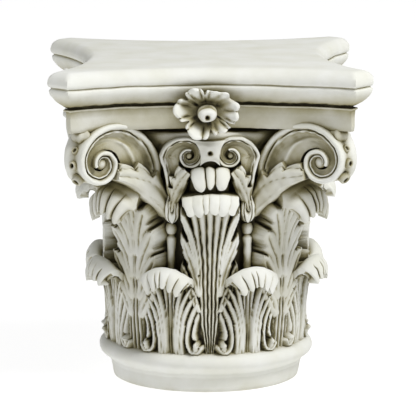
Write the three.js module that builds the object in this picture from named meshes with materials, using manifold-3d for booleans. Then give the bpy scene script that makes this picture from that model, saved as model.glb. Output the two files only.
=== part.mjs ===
// Cast stone Corinthian capital: bell with a moulded foot, two rows of acanthus leaves,
// caulicoles, corner volutes, inner helices, a concave-sided abacus and a fleuron on each face.
// Millimetres, +Z up, origin at the bottom centre, a face of the abacus towards -Y.
// The whole capital is one casting, so every carved form is joined into one closed solid.

import * as THREE from 'three';
import { mergeVertices } from 'three/addons/utils/BufferGeometryUtils.js';
import Module from 'manifold-3d';

// Overall sizes
const abacusHalfWidth = 175;
const totalHeight = 364;

// Abacus: concave sides, cut horns, and a moulded edge of (height above its underside, inset) pairs
const hornCut = 21.7;
const sideHollow = 41;
const abacusUnderside = 297;
const abacusSideSteps = 6;
const abacusProfile = [
  [0, 17], [23.5, 16], [25, 17.5], [30.5, 13], [38, 4.5], [46.5, 1], [49, 4],
  [51, 1], [57, 0],
];
const abacusTopEdge = { drop: 4, inset: 3, rimInset: 8.6 };

// Turned foot and bell, as (radius, height) pairs
const turnedSteps = 24;
const footProfile = [
  [104, 0], [107, 14], [109, 20.5], [113, 25.5], [118.5, 29.5], [120.4, 35], [118, 41],
  [106, 46],
];
const bellRadius = 95;
const bellLip = 120;
const bellNeck = 108;
const bellProfile = [
  [bellRadius, 58], [99, 205], [108, 256], [bellLip, 285], [117, 292], [bellNeck, 293],
];
const bellSink = 13;

// Leaves around the bell
const leavesPerRow = 8;
const leafBury = 10;

const lowerLeaf = {
  path: [[106, 38], [108, 58], [109, 90], [110, 112], [115, 130], [124, 142], [134, 144],
    [141, 135], [142, 121]],
  halfWidth: [[0, 22], [0.2, 31], [0.42, 31], [0.6, 29], [0.75, 30], [0.9, 25], [1, 12]],
  lobes: 3,
  notch: 0.3,
  notchEnd: 0.6,
  veinRise: 0.55,
  hood: [0.55, 0.7],
  droop: 15,
  rib: 2.5,
  edgeDrop: 2,
  thickness: 9,
  acrossSteps: 4,
  alongSteps: 7,
};

const faceLeaf = {
  path: [[105, 40], [109, 72], [110, 120], [111, 165], [114, 190], [121, 209], [131, 222],
    [140, 221], [143, 208]],
  halfWidth: [[0, 10], [0.4, 12], [0.55, 27], [0.72, 33], [0.82, 29], [0.93, 29], [1, 22]],
  lobes: 6,
  notch: 0.28,
  notchEnd: 0.8,
  veinRise: 0.8,
  hood: [0.78, 0.88],
  droop: 7,
  rib: 3,
  edgeDrop: 2,
  thickness: 9,
  acrossSteps: 4,
  alongSteps: 8,
};

const cornerLeaf = {
  path: [[105, 40], [109, 72], [110, 120], [113, 165], [121, 198], [134, 221], [149, 233],
    [162, 228], [168, 214], [167, 202]],
  halfWidth: [[0, 10], [0.35, 12], [0.5, 29], [0.66, 34], [0.78, 30], [0.9, 27], [1, 14]],
  lobes: 6,
  notch: 0.28,
  notchEnd: 0.74,
  veinRise: 0.8,
  hood: [0.68, 0.8],
  droop: 14,
  rib: 3,
  edgeDrop: 2,
  thickness: 9,
  acrossSteps: 4,
  alongSteps: 8,
};

// Second, smaller tip behind the curl of each face leaf
const innerTip = {
  reach: [112, 131],
  height: [226, 252],
  halfWidth: 20,
  thickness: 9,
  bury: 8,
  droop: 8,
};

// Corner volutes: two a corner, each in an upright plane turned from its face, with the eye at
// a distance in from the horn, back from the front of the abacus and down from its underside.
// The stalk stays at the bell: its points are (distance along the plane from the axis, height)
const volute = {
  turn: Math.PI / 6,
  fromSide: 60,
  fromFront: 30.5,
  drop: 35,
  coil: 28.5,
  tighten: 6.8,
  throat: 27.3,
  throatEnd: 1.83,
  turns: 1.45,
  stalk: [[88, 192], [97, 227]],
  bandWidth: 16,
  rimWidth: 6.5,
  innerRim: 3,
  channel: 5,
  depth: 42,
  twinOverlap: 1,
  button: 6.5,
  edgeSteps: 9,
  channelSteps: 9,
};
volute.eye = [
  abacusHalfWidth - volute.fromSide,
  volute.fromFront - abacusHalfWidth,
  abacusUnderside - volute.drop,
];

// Inner helices: two a face, meeting under the middle of the abacus; this is the left one
const helix = {
  turn: 0,
  fromMiddle: 22.5,
  standOff: 4,
  drop: 30,
  coil: 16,
  tighten: 7.5,
  throat: 8,
  throatEnd: 2,
  turns: 1.2,
  stalk: [[-43.5, 205], [-47, 239]],
  bandWidth: 12,
  rimWidth: 3.6,
  innerRim: 2.5,
  channel: 3.5,
  depth: 20,
  button: 3.5,
  edgeSteps: 7,
  channelSteps: 6,
};
helix.eye = [-helix.fromMiddle, -bellLip - helix.standOff, abacusUnderside - helix.drop];
const helixWeb = { width: 18, height: 22, depth: 12, drop: 31 };

// Caulicoles: stem, bead and calyx on either side of each face's middle
const caulicoleAzimuth = 23.5;
const caulicole = {
  standOff: 3,
  section: [[4.5, 112], [7.4, 173], [4.5, 177], [6.6, 184], [4.2, 189], [9.5, 197]],
  steps: 5,
};

// Fleurons and the leaf knobs under the horns
const fleuron = {
  petals: 7,
  fromMiddle: -4,
  standOff: 9,
  rise: 22,
  reach: [35, 27],
  notch: 0.24,
  flute: 4,
  rings: [[0.3, 11], [0.34, 2], [0.72, 9], [1, 2], [0.6, -20]],
  buttonTop: 14,
  stepsPerPetal: 2,
};
const hornKnob = { inset: 36, drop: 5, radii: [13, 8, 9] };

const stone = new THREE.MeshStandardMaterial({ color: 0xdcdbd4, roughness: 0.82, metalness: 0 });

const wasm = await Module();
wasm.setup();

const UP = new THREE.Vector3(0, 0, 1);
const QUARTER = Math.PI / 2;

// Outward direction at an azimuth measured from the -Y face towards +X
function outward(azimuth) {
  return new THREE.Vector3(Math.sin(azimuth), -Math.cos(azimuth), 0);
}

// Smooth ramp from 0 to 1 between two limits
function ramp(from, to, value) {
  return THREE.MathUtils.smoothstep(value, from, to);
}

// Value at a position along a list of (position, value) pairs
function along(pairs, position) {
  const next = pairs.findIndex(([at]) => at >= position);
  if (next <= 0) return next === 0 ? pairs[0][1] : pairs[pairs.length - 1][1];
  const [fromAt, from] = pairs[next - 1];
  const [toAt, to] = pairs[next];
  return THREE.MathUtils.lerp(from, to, (position - fromAt) / (toAt - fromAt));
}

// Closed three.js geometry as a solid that can be joined, without the flat triangles of its poles
function solidOf(geometry) {
  const bare = geometry.clone();
  bare.deleteAttribute('normal');
  bare.deleteAttribute('uv');
  const merged = mergeVertices(bare, 1e-4);
  const corners = [];
  for (let i = 0; i < merged.index.count; i += 3) {
    const [a, b, c] = [0, 1, 2].map((k) => merged.index.getX(i + k));
    if (a !== b && b !== c && c !== a) corners.push(a, b, c);
  }
  return new wasm.Manifold(new wasm.Mesh({
    numProp: 3,
    vertProperties: new Float32Array(merged.attributes.position.array),
    triVerts: new Uint32Array(corners),
  }));
}

// Geometry of a joined or cut solid
function geometryOf(solid) {
  const mesh = solid.getMesh();
  const geometry = new THREE.BufferGeometry();
  geometry.setAttribute('position', new THREE.BufferAttribute(mesh.vertProperties, 3));
  geometry.setIndex(new THREE.BufferAttribute(mesh.triVerts, 1));
  return geometry;
}

// Moves every vertex of a geometry by a function of its old position
function remap(geometry, place) {
  const position = geometry.attributes.position;
  const vertex = new THREE.Vector3();
  for (let i = 0; i < position.count; i += 1) {
    const placed = place(vertex.fromBufferAttribute(position, i).clone());
    position.setXYZ(i, placed.x, placed.y, placed.z);
  }
  return geometry;
}

// Slab of steps across and along, placed by (across -1..1, along 0..1, front true or false)
function slab(acrossSteps, alongSteps, place) {
  const box = new THREE.BoxGeometry(2, 1, 1, acrossSteps, alongSteps, 1);
  return remap(box, (v) => place(v.x, v.y + 0.5, v.z > 0));
}

// Geometry turned about the vertical axis
function turned(geometry, angle) {
  return geometry.clone().rotateZ(angle);
}

// Foot and bell, turned about the axis
function bellGeometry() {
  const section = [
    new THREE.Vector2(0, 0),
    ...footProfile.map(([r, z]) => new THREE.Vector2(r, z)),
    ...bellProfile.map(([r, z]) => new THREE.Vector2(r, z)),
    new THREE.Vector2(bellNeck, abacusUnderside + bellSink),
    new THREE.Vector2(0, abacusUnderside + bellSink),
  ];
  return new THREE.LatheGeometry(section, turnedSteps).rotateX(QUARTER);
}

// Plan outline of the abacus at an inset: four hollow sides between cut horns
function abacusOutline(inset) {
  const halfChord = abacusHalfWidth - hornCut;
  const hollowRadius = (halfChord ** 2 + sideHollow ** 2) / (2 * sideHollow);
  const hollowCentre = abacusHalfWidth - sideHollow + hollowRadius;
  const hornReach = 2 * abacusHalfWidth - hornCut - Math.SQRT2 * inset;
  const radius = hollowRadius + inset;
  const gap = hollowCentre - hornReach;
  const end = (Math.sqrt(2 * radius ** 2 - gap ** 2) - gap) / 2;
  const sweep = Math.asin(end / radius);
  const points = [];
  for (let side = 0; side < 4; side += 1) {
    for (let step = 0; step <= abacusSideSteps; step += 1) {
      const angle = sweep * (2 * step / abacusSideSteps - 1);
      const point = new THREE.Vector2(radius * Math.sin(angle), radius * Math.cos(angle) - hollowCentre);
      points.push(point.rotateAround(new THREE.Vector2(), side * QUARTER));
    }
  }
  return points;
}

function abacusGeometry() {
  const edge = [
    ...abacusProfile.map(([rise, inset]) => [abacusUnderside + rise, inset]),
    [totalHeight - abacusTopEdge.drop, abacusTopEdge.inset],
    [totalHeight, abacusTopEdge.rimInset],
  ];
  const outlines = edge.map(([, inset]) => abacusOutline(inset));
  const steps = outlines[0].length;
  const levels = edge.length;
  const drum = new THREE.CylinderGeometry(1, 1, 1, steps, levels - 1).rotateX(QUARTER);
  return remap(drum, (v) => {
    const level = Math.round((v.z + 0.5) * (levels - 1));
    const height = edge[level][0];
    if (Math.hypot(v.x, v.y) < 0.5) return new THREE.Vector3(0, 0, height);
    const turn = Math.atan2(v.y, v.x) / (2 * Math.PI);
    const point = outlines[level][((Math.round(turn * steps) % steps) + steps) % steps];
    return new THREE.Vector3(point.x, point.y, height);
  });
}

// Acanthus leaf: lobed outline, raised midrib, veins that rise outwards, hooded curled tip
function leafGeometry(leaf) {
  const path = new THREE.CatmullRomCurve3(
    leaf.path.map(([r, z]) => new THREE.Vector3(r, 0, z)),
  );
  const length = path.getLength();
  return slab(leaf.acrossSteps, leaf.alongSteps, (across, t, front) => {
    const scallop = 0.5 + 0.5 * Math.cos(2 * Math.PI * leaf.lobes * t / leaf.notchEnd);
    const notched = t < leaf.notchEnd ? leaf.notch * scallop : 0;
    const width = along(leaf.halfWidth, t) * (1 - notched);
    const hooded = ramp(leaf.hood[0], leaf.hood[1], t);
    const reach = Math.abs(across) * width;
    const rise = leaf.veinRise * reach * (1 - hooded) * Math.min(1, (1 - t) * 3);
    const at = THREE.MathUtils.clamp(t + rise / length, 0, 1);
    const spine = path.getPointAt(at);
    const tangent = path.getTangentAt(at);
    const normal = new THREE.Vector3(tangent.z, 0, -tangent.x);
    const side = Math.abs(across);
    const lift = leaf.rib * (1 - side) ** 2 - leaf.edgeDrop * (1 - hooded) * side;
    const depth = front ? lift + leaf.thickness * hooded : (hooded - 1) * (leaf.thickness + leafBury);
    spine.addScaledVector(normal, depth);
    const droop = leaf.droop * hooded * across ** 2;
    const radius = spine.x - droop * 0.4;
    const azimuth = (across * width) / Math.max(radius, bellRadius);
    return outward(azimuth).multiplyScalar(radius).addScaledVector(UP, spine.z - droop);
  });
}

// Small upright tip that shows above the curl of a face leaf
function innerTipGeometry() {
  return slab(4, 3, (across, t, front) => {
    const curl = ramp(0.3, 1, t);
    const radius = THREE.MathUtils.lerp(innerTip.reach[0], innerTip.reach[1], curl);
    const height = THREE.MathUtils.lerp(innerTip.height[0], innerTip.height[1], Math.sin(t * QUARTER));
    const droop = innerTip.droop * curl * across ** 2;
    const depth = front ? 0 : -innerTip.thickness - innerTip.bury * (1 - curl);
    const width = innerTip.halfWidth * (1 - 0.25 * t ** 2);
    const azimuth = (across * width) / radius;
    return outward(azimuth).multiplyScalar(radius + depth).addScaledVector(UP, height - droop);
  });
}

// Radius of a scroll's outer edge at an angle from its throat
function scrollRadius(scroll, angle) {
  const coil = scroll.coil * Math.exp(-(angle - Math.PI) / scroll.tighten);
  return coil + scroll.throat * Math.max(0, 1 - angle / scroll.throatEnd) ** 1.7;
}

// Point of a scroll's edge in its own plane, drawn in by a distance
function scrollPoint(scroll, angle, inwards) {
  const radius = scrollRadius(scroll, angle) - inwards;
  return new THREE.Vector2(-radius * Math.cos(angle), radius * Math.sin(angle));
}

// Edge of the stalk at a distance in from its outer edge, from foot to top
function stalkEdge(scroll, inwards) {
  const [eyeX, eyeY, eyeZ] = scroll.eye;
  const eyeAlong = eyeX * Math.cos(scroll.turn) - eyeY * Math.sin(scroll.turn);
  return scroll.stalk.map(([distance, height], i) => {
    const narrowing = 1 - 0.25 * (scroll.stalk.length - 1 - i);
    return new THREE.Vector2(distance - eyeAlong + inwards * narrowing, height - eyeZ);
  });
}

function extruded(outline, depth, front) {
  return new THREE.ExtrudeGeometry(new THREE.Shape(outline), { depth, bevelEnabled: false })
    .translate(0, 0, front - depth);
}

// Evenly spaced angles of a scroll between two limits
function scrollAngles(steps, from, to) {
  return Array.from({ length: steps + 1 }, (_, i) => THREE.MathUtils.lerp(from, to, i / steps));
}

// Whole scroll with its stalk, as deep as the corner or the bell behind it needs
function scrollBody(scroll) {
  const outline = [
    ...stalkEdge(scroll, 0),
    ...scrollAngles(scroll.edgeSteps, 0, 1.9 * Math.PI)
      .map((angle) => scrollPoint(scroll, angle, 0)),
    scrollPoint(scroll, 2.25 * Math.PI, 0),
    scrollPoint(scroll, 0, scroll.bandWidth),
    ...stalkEdge(scroll, scroll.bandWidth).reverse(),
  ];
  const body = extruded(outline, 1, 0);
  if (!scroll.twinOverlap) return body.scale(1, 1, scroll.depth);
  return remap(body, (v) => {
    const seat = v.clone().setZ(0).applyMatrix4(scrollFrame(scroll));
    const toTwin = (seat.x + seat.y) / (Math.sin(scroll.turn) + Math.cos(scroll.turn));
    const back = Math.max(toTwin - scroll.twinOverlap, -scroll.depth);
    return v.setZ(v.z < -0.5 ? back : 0);
  });
}

// Sunk channel that follows the rim from the foot of the stalk round to the button of the eye
function scrollChannel(scroll) {
  const end = scroll.turns * 2 * Math.PI;
  const outer = scrollAngles(scroll.channelSteps, 0, end)
    .map((angle) => scrollPoint(scroll, angle, scroll.rimWidth * (1 - 0.05 * angle)));
  const inner = scrollAngles(scroll.channelSteps, end, 0.5 * Math.PI).map((angle) => {
    const radius = Math.max(scrollRadius(scroll, angle + 2 * Math.PI), scroll.button);
    return scrollPoint(scroll, angle, scrollRadius(scroll, angle) - radius);
  });
  const innerSide = scroll.bandWidth - scroll.innerRim;
  return extruded([
    ...stalkEdge(scroll, scroll.rimWidth),
    ...outer,
    ...inner,
    scrollPoint(scroll, 0, innerSide),
    ...stalkEdge(scroll, innerSide).reverse(),
  ], 2 * scroll.channel, scroll.channel);
}

// Scroll with its channel cut
function scrollGeometry(scroll) {
  return geometryOf(solidOf(scrollBody(scroll)).subtract(solidOf(scrollChannel(scroll))));
}

// Frame at a scroll's eye, turned about the vertical
function scrollFrame(scroll) {
  return new THREE.Matrix4().makeBasis(
    new THREE.Vector3(Math.cos(scroll.turn), -Math.sin(scroll.turn), 0),
    UP,
    new THREE.Vector3(-Math.sin(scroll.turn), -Math.cos(scroll.turn), 0),
  ).setPosition(...scroll.eye);
}

// Scroll placed on one side of a face or the other
function placeScroll(part, scroll, side) {
  return mirrorSide(part.clone().applyMatrix4(scrollFrame(scroll)), side);
}

// Mirror image across the middle of the face, with its faces turned back out
function mirrorSide(geometry, side) {
  if (side > 0) return geometry;
  const mirrored = geometry.clone().scale(-1, 1, 1);
  const loose = mirrored.index ? mirrored.toNonIndexed() : mirrored;
  const position = loose.attributes.position;
  const corner = new THREE.Vector3();
  for (let i = 0; i < position.count; i += 3) {
    corner.fromBufferAttribute(position, i + 1);
    position.setXYZ(i + 1, position.getX(i + 2), position.getY(i + 2), position.getZ(i + 2));
    position.setXYZ(i + 2, corner.x, corner.y, corner.z);
  }
  return loose;
}

// Stem, bead and cup of one caulicole, standing on the bell
function caulicoleGeometry() {
  const { section, steps } = caulicole;
  const foot = outward(THREE.MathUtils.degToRad(caulicoleAzimuth))
    .multiplyScalar(bellRadius + caulicole.standOff);
  return new THREE.LatheGeometry([
    new THREE.Vector2(0, section[0][1]),
    ...section.map(([r, z]) => new THREE.Vector2(r, z)),
    new THREE.Vector2(0, section[section.length - 1][1]),
  ], steps).rotateX(QUARTER).translate(foot.x, foot.y, 0);
}

// Web that joins the two helices of a face
function helixWebGeometry() {
  return new THREE.BoxGeometry(helixWeb.width, helixWeb.depth, helixWeb.height)
    .translate(0, helix.eye[1] + helix.channel + helixWeb.depth / 2, abacusUnderside - helixWeb.drop);
}

// Fleuron: notched petals around a button, with its back sunk in the abacus
function fleuronGeometry() {
  const { petals, stepsPerPetal, rings, reach, notch, buttonTop } = fleuron;
  const sideMiddle = abacusHalfWidth - sideHollow;
  const section = [
    new THREE.Vector2(0, buttonTop),
    ...rings.map(([share, out]) => new THREE.Vector2(share, out)),
    new THREE.Vector2(0, rings[rings.length - 1][1]),
  ];
  const flower = new THREE.LatheGeometry(section, petals * stepsPerPetal);
  return remap(flower, (v) => {
    const share = Math.hypot(v.x, v.z);
    const angle = Math.atan2(v.x, v.z);
    const cut = 0.5 + 0.5 * Math.cos(petals * angle);
    const spread = share < 0.4 ? 1 : 1 - notch * cut * share;
    const flute = share < 0.4 ? 0 : fleuron.flute * cut * share;
    return new THREE.Vector3(
      fleuron.fromMiddle + reach[0] * spread * v.x,
      flute - v.y - sideMiddle - fleuron.standOff,
      abacusUnderside + fleuron.rise + reach[1] * spread * v.z,
    );
  });
}

// Curled leaf knob between the volutes and a horn of the abacus
function hornKnobGeometry() {
  const hornReach = (2 * abacusHalfWidth - hornCut) / Math.SQRT2;
  const centre = outward(Math.PI / 4).multiplyScalar(hornReach - hornKnob.inset);
  return new THREE.SphereGeometry(1, 6, 4).scale(...hornKnob.radii).rotateZ(-Math.PI / 4)
    .translate(centre.x, centre.y, abacusUnderside - hornKnob.drop);
}

// Everything that repeats on each of the four faces
function facePieces() {
  const pieces = [leafGeometry(faceLeaf), innerTipGeometry(), helixWebGeometry(), fleuronGeometry()];
  const corner = turned(leafGeometry(cornerLeaf), Math.PI / 4);
  pieces.push(corner, hornKnobGeometry());
  const voluteSide = scrollGeometry(volute);
  const helixSide = scrollGeometry(helix);
  for (const side of [1, -1]) {
    pieces.push(turned(leafGeometry(lowerLeaf), side * Math.PI / leavesPerRow));
    pieces.push(placeScroll(voluteSide, volute, side));
    pieces.push(placeScroll(helixSide, helix, side));
    pieces.push(mirrorSide(caulicoleGeometry(), side));
  }
  return pieces;
}

const solids = [bellGeometry(), abacusGeometry()].map(solidOf);
for (let quarter = 0; quarter < 4; quarter += 1) {
  solids.push(...facePieces().map((piece) => solidOf(turned(piece, quarter * QUARTER))));
}
const casting = solids.reduce((whole, solid) => whole.add(solid));
const geometry = geometryOf(casting);
geometry.computeVertexNormals();

const body = new THREE.Mesh(geometry, stone);
body.name = 'capital';

const capital = new THREE.Group();
capital.add(body);

export default capital;
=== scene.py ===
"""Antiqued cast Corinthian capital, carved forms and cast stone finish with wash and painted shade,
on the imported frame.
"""

import logging
import math
from collections.abc import Callable
from dataclasses import dataclass, field
from enum import Enum

import bmesh
import bpy
import numpy as np
from mathutils import Matrix, Vector


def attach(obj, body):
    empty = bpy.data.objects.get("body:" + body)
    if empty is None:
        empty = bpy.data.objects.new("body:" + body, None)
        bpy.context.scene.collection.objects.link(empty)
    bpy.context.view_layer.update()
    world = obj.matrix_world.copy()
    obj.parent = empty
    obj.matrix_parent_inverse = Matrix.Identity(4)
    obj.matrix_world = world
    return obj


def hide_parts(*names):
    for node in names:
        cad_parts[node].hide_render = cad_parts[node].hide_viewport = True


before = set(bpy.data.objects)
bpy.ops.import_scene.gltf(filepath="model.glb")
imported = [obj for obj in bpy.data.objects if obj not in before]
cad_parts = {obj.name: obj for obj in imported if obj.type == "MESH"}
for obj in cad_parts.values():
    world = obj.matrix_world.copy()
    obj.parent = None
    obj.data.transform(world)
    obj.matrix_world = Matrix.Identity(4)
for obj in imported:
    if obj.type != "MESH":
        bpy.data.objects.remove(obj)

LOG = logging.getLogger("capital")
MM = 0.001
NODE = "capital"
QUARTERS = [k * math.pi / 2 for k in range(4)]
DIAGONALS = [math.pi / 4 + angle for angle in QUARTERS]
BETWEEN = [math.pi / 8 + k * math.pi / 4 for k in range(8)]
Points = np.ndarray
Pairs = list[tuple[float, float]]
Span = tuple[float, float, float, float]
# Mask of wash and painted shade, worked out from coordinates.
StainAndShade = Callable[[np.ndarray], np.ndarray]
Socket = bpy.types.NodeSocket
Place = Callable[[np.ndarray, np.ndarray, np.ndarray], Points]


# Shared shape functions


def ramp(low: float, high: float, value: np.ndarray) -> np.ndarray:
    """Smooth step from 0 to 1.

    Args:
        low: Value where the ramp starts.
        high: Value where the ramp ends.
        value: Positions to look up.

    Returns:
        The ramp at each position.
    """
    share = np.clip((value - low) / (high - low), 0, 1)
    return share * share * (3 - 2 * share)


def curve_table(points: Pairs, steps: int = 400) -> tuple[np.ndarray, np.ndarray]:
    """Smooth plane curve through points, sampled evenly by length.

    Args:
        points: Points that the curve passes.
        steps: Samples in the table.

    Returns:
        Lengths along the curve and the sampled points.
    """
    control = np.array(points, dtype=float)
    padded = np.vstack([2 * control[0] - control[1], control, 2 * control[-1] - control[-2]])
    pieces = []
    share = np.linspace(0, 1, 24, endpoint=False)[:, None]
    for i in range(len(control) - 1):
        a, b, c, d = padded[i:i + 4]
        pieces.append(0.5 * (2 * b + (c - a) * share + (2 * a - 5 * b + 4 * c - d) * share**2
                             + (3 * b - a - 3 * c + d) * share**3))
    line = np.vstack([*pieces, control[-1:]])
    lengths = np.concatenate([[0], np.cumsum(np.linalg.norm(np.diff(line, axis=0), axis=1))])
    even = np.linspace(0, lengths[-1], steps)
    sampled = np.stack([np.interp(even, lengths, line[:, k]) for k in range(2)], axis=1)
    return even, sampled


def finer(section: Pairs, step: float) -> np.ndarray:
    """Section of a turned body with long stretches split, apart from its flat ends.

    Args:
        section: Radius and height pairs.
        step: Longest stretch.

    Returns:
        The split section.
    """
    profile = np.array(section, dtype=float)
    split = [profile[0]]
    for a, b in zip(profile[:-1], profile[1:]):
        count = max(1, round(np.linalg.norm(b - a) / step)) if min(a[0], b[0]) > 0 else 1
        split += [a + (b - a) * (k + 1) / count for k in range(count)]
    return np.array(split)


def around(radius: np.ndarray, azimuth: np.ndarray, height: np.ndarray) -> Points:
    """Points from cylinder coordinates, azimuth from the -Y face towards +X.

    Args:
        radius: Distance from the axis.
        azimuth: Angle in radians.
        height: Height above the underside.

    Returns:
        Points, one a row.
    """
    return np.stack([radius * np.sin(azimuth), -radius * np.cos(azimuth), height], axis=1)


def ridges(phase: np.ndarray, sharp: float = 0.6) -> np.ndarray:
    """Rounded ridges with narrow grooves at whole phases.

    Args:
        phase: Position in ridges.
        sharp: Exponent, smaller for narrower grooves.

    Returns:
        Height from 0 in a groove to 1 on a ridge.
    """
    return np.abs(np.sin(np.pi * phase)) ** sharp


def bump(offset: np.ndarray, width: float) -> np.ndarray:
    """Bell-shaped bump of a width around 0."""
    return np.exp(-((offset / width) ** 2))


# Mesh building


def slab(across: int, along: int, place: Place, name: str) -> bpy.types.Mesh:
    """Closed slab of a grid's front and back, placed by a function.

    Args:
        across: Steps across.
        along: Steps along.
        place: Function of across (-1..1), along (0..1) and front (0 or 1) that gives millimetres.
        name: Name of the mesh.

    Returns:
        The closed mesh.
    """
    bm = bmesh.new()
    bmesh.ops.create_grid(bm, x_segments=across, y_segments=along, size=1)
    lifted = bmesh.ops.extrude_face_region(bm, geom=bm.faces[:], use_keep_orig=True)
    verts = [item for item in lifted["geom"] if isinstance(item, bmesh.types.BMVert)]
    bmesh.ops.translate(bm, verts=verts, vec=(0, 0, 1))
    bmesh.ops.recalc_face_normals(bm, faces=bm.faces[:])
    return placed_mesh(bm, lambda c: place(c[:, 0], (c[:, 1] + 1) / 2, c[:, 2]), name)


def placed_mesh(bm: bmesh.types.BMesh, place: Callable[[np.ndarray], Points],
                name: str) -> bpy.types.Mesh:
    """Turns a bmesh into a mesh and moves its vertices by a function.

    Args:
        bm: The bmesh, freed here.
        place: Function from the old coordinates to millimetres.
        name: Name of the mesh.

    Returns:
        The mesh, in metres.
    """
    mesh = bpy.data.meshes.new(name)
    bm.to_mesh(mesh)
    bm.free()
    flat = np.empty(len(mesh.vertices) * 3)
    mesh.vertices.foreach_get("co", flat)
    placed = place(flat.reshape(-1, 3)) * MM
    mesh.vertices.foreach_set("co", placed.astype(np.float32).ravel())
    mesh.update()
    return mesh


def loft(steps: int, levels: int, place: Callable[[np.ndarray, np.ndarray], Points],
         name: str) -> bpy.types.Mesh:
    """Closed body of rings around an axis, with both ends closed.

    Args:
        steps: Points around each ring.
        levels: Rings from bottom to top.
        place: Function of turn (0..1) and level (0..1) that gives millimetres.
        name: Name of the mesh.

    Returns:
        The closed mesh.
    """
    bm = bmesh.new()
    bmesh.ops.create_grid(bm, x_segments=steps, y_segments=levels - 1, size=1)
    mesh = placed_mesh(bm, lambda c: place((c[:, 0] + 1) / 2 % 1, (c[:, 1] + 1) / 2), name)
    bm = bmesh.new()
    bm.from_mesh(mesh)
    bmesh.ops.remove_doubles(bm, verts=bm.verts[:], dist=1e-6)
    open_edges = [edge for edge in bm.edges if edge.is_boundary]
    if open_edges:
        bmesh.ops.holes_fill(bm, edges=open_edges, sides=0)
    bmesh.ops.triangulate(bm, faces=[face for face in bm.faces if len(face.verts) > 4])
    bmesh.ops.recalc_face_normals(bm, faces=bm.faces[:])
    bm.to_mesh(mesh)
    bm.free()
    return mesh


def turned(section: np.ndarray, steps: int, place: Place, name: str) -> bpy.types.Mesh:
    """Closed body lofted around an axis from the points of a section.

    Args:
        section: Radius and height of each ring.
        steps: Points around each ring.
        place: Function of turn (0..1), radius and height that gives millimetres.
        name: Name of the mesh.

    Returns:
        The closed mesh.
    """

    def ring(turn: np.ndarray, level: np.ndarray) -> Points:
        """Points of the rings."""
        at = np.rint(level * (len(section) - 1)).astype(int)
        return place(turn, section[at, 0], section[at, 1])

    return loft(steps, len(section), ring, name)


def copies(mesh: bpy.types.Mesh, angles: list[float], mirror: bool = False) -> list[bpy.types.Mesh]:
    """Copies of a mesh turned about the axis, each with its mirror image if asked.

    Args:
        mesh: The mesh to copy, removed here.
        angles: Angles in radians, anticlockwise from above.
        mirror: Adds the image across the middle of the face.

    Returns:
        The copies.
    """
    made = []
    for angle in angles:
        for flip in ([False, True] if mirror else [False]):
            copy = mesh.copy()
            if flip:
                copy.transform(Matrix.Scale(-1, 4, (1, 0, 0)))
                copy.flip_normals()
            copy.transform(Matrix.Rotation(angle, 4, "Z"))
            made.append(copy)
    bpy.data.meshes.remove(mesh)
    return made


def settle(co: np.ndarray) -> np.ndarray:
    """Slow unevenness of a casting.

    Args:
        co: Coordinates in metres.

    Returns:
        Offsets in metres.
    """
    sway, swell = 0.00028, 0.00035
    x, y, z = (co[:, k] for k in range(3))
    wave = np.stack([
        np.sin(61 * y + 37 * z + 1.3) + 0.6 * np.sin(143 * z + 97 * x),
        np.sin(57 * x + 41 * z + 2.1) + 0.6 * np.sin(131 * z + 89 * y + 0.7),
        np.sin(53 * x + 47 * y + 0.4) + 0.6 * np.sin(127 * x + 101 * y + 1.9),
    ], axis=1)
    lump = np.sin(430 * x + 2) * np.sin(410 * y + 1) * np.sin(390 * z)
    return wave * sway + lump[:, None] * swell


def hollows(mesh: bpy.types.Mesh) -> np.ndarray:
    """How far each vertex lies in a hollow, from fine to broad.

    Args:
        mesh: The mesh to measure.

    Returns:
        Share from 0 on open or raised surface to 1 deep in a groove.
    """
    fine, middle, broad, full_depth = 2, 5, 12, 0.00035
    count = len(mesh.vertices)
    co = np.empty(count * 3)
    mesh.vertices.foreach_get("co", co)
    co = co.reshape(-1, 3)
    normal = np.empty(count * 3, dtype=np.float32)
    mesh.vertex_normals.foreach_get("vector", normal)
    normal = normal.reshape(-1, 3)
    pairs = np.empty(len(mesh.edges) * 2, dtype=np.int32)
    mesh.edges.foreach_get("vertices", pairs)
    a, b = pairs.reshape(-1, 2).T
    degree = np.maximum(np.bincount(a, minlength=count) + np.bincount(b, minlength=count), 1)

    def averaged(values: np.ndarray) -> np.ndarray:
        """Mean of each vertex's neighbours."""
        total = np.stack([
            np.bincount(a, values[b, k], count) + np.bincount(b, values[a, k], count)
            for k in range(3)
        ], axis=1)
        return total / degree[:, None]

    smooth = co
    sunk = np.zeros(count)
    for step in range(1, broad + 1):
        smooth = averaged(smooth)
        if step in (fine, middle, broad):
            depth = np.einsum("ij,ij->i", smooth - co, normal)
            sunk = np.maximum(sunk, depth / (full_depth * step**0.6))
    return np.clip(sunk, 0, 1)


# Finish and painted shade


class Sum(Enum):
    """Sums that are done on the masks of a finish."""

    ADD = "ADD"
    SUBTRACT = "SUBTRACT"
    MULTIPLY = "MULTIPLY"


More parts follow.
